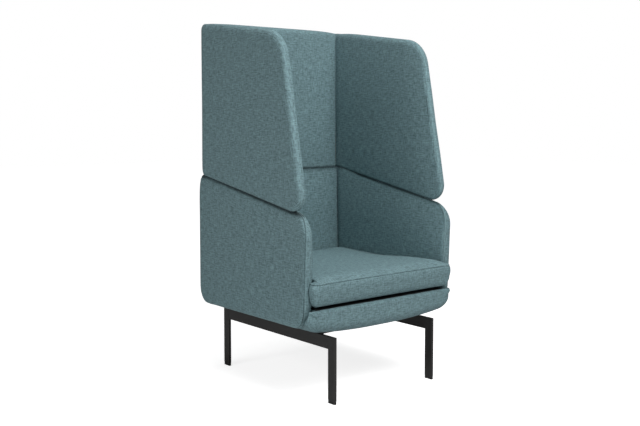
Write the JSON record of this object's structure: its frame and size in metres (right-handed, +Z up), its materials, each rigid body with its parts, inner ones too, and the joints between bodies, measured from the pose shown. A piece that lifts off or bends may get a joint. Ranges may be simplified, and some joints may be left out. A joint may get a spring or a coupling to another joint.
{
  "type": "high back lounge chair",
  "caption": "Upholstered lounge chair with a tall wrap-round screen above the arms, a loose T-shaped seat cushion and a flat-bar steel leg frame.",
  "frame": {"origin": "on the floor, under the middle of the whole chair", "axes": "+Z up, the sitter faces -Y, +X to the right as seen from the front"},
  "size_m": [0.72, 0.726, 1.36],
  "materials": {
    "outer_fabric": "matt wool-like weave, petrol melange",
    "inner_fabric": "matt wool-like weave, petrol melange",
    "cushion_fabric": "matt wool-like weave, petrol melange",
    "lining": "matt black lining cloth",
    "foam": "open foam",
    "plywood": "raw moulded plywood",
    "timber": "raw sawn timber",
    "frame_steel": "black powder coat, low sheen",
    "glides": "black plastic",
    "fasteners": "zinc plated",
    "tongues": "zinc plated"
  },
  "bodies": {
    "chair": {"arm_bolt_left_front": "fasteners", "arm_bolt_left_rear": "fasteners", "arm_bolt_right_front": "fasteners", "arm_bolt_right_rear": "fasteners", "back_bolt_left": "fasteners", "back_bolt_right": "fasteners", "base_front_rail": "timber", "base_left_rail": "timber", "base_rear_rail": "timber", "base_right_rail": "timber", "base_underside_cloth": "lining", "deck_bolt_left_front": "fasteners", "deck_bolt_left_rear": "fasteners", "deck_bolt_right_front": "fasteners", "deck_bolt_right_rear": "fasteners", "front_cross_strap": "frame_steel", "front_left_glide": "glides", "front_left_leg": "frame_steel", "front_right_glide": "glides", "front_right_leg": "frame_steel", "left_arm_band": "inner_fabric", "left_arm_inner_pad": "inner_fabric", "left_rail": "frame_steel", "left_wing_inner_pad": "inner_fabric", "lower_back_inner_pad": "inner_fabric", "lower_screw_back_left": "fasteners", "lower_screw_back_right": "fasteners", "lower_screw_left": "fasteners", "lower_screw_right": "fasteners", "rear_cross_strap": "frame_steel", "rear_left_glide": "glides", "rear_left_leg": "frame_steel", "rear_right_glide": "glides", "rear_right_leg": "frame_steel", "right_arm_band": "inner_fabric", "right_arm_inner_pad": "inner_fabric", "right_rail": "frame_steel", "right_wing_inner_pad": "inner_fabric", "screen_core": "plywood", "screen_outer_pad": "outer_fabric", "screen_tongue_back_left": "tongues", "screen_tongue_back_right": "tongues", "screen_tongue_left": "tongues", "screen_tongue_right": "tongues", "seat_base_cover": "outer_fabric", "seat_base_foam": "foam", "seat_deck": "plywood", "shell_core": "plywood", "shell_outer_pad": "outer_fabric", "upper_back_inner_pad": "inner_fabric", "upper_screw_back_left": "fasteners", "upper_screw_back_right": "fasteners", "upper_screw_left": "fasteners", "upper_screw_right": "fasteners"},
    "seat_cushion": {"seat_cushion_cover": "cushion_fabric", "seat_cushion_core": "foam", "seat_cushion_underside": "lining"}
  },
  "joints": [
    {"name": "cushion_lift_out", "type": "slide", "parent": "chair", "child": "seat_cushion", "axis": [0, -0.866, 0.5], "range_m": [0, 0.75]}
  ]
}
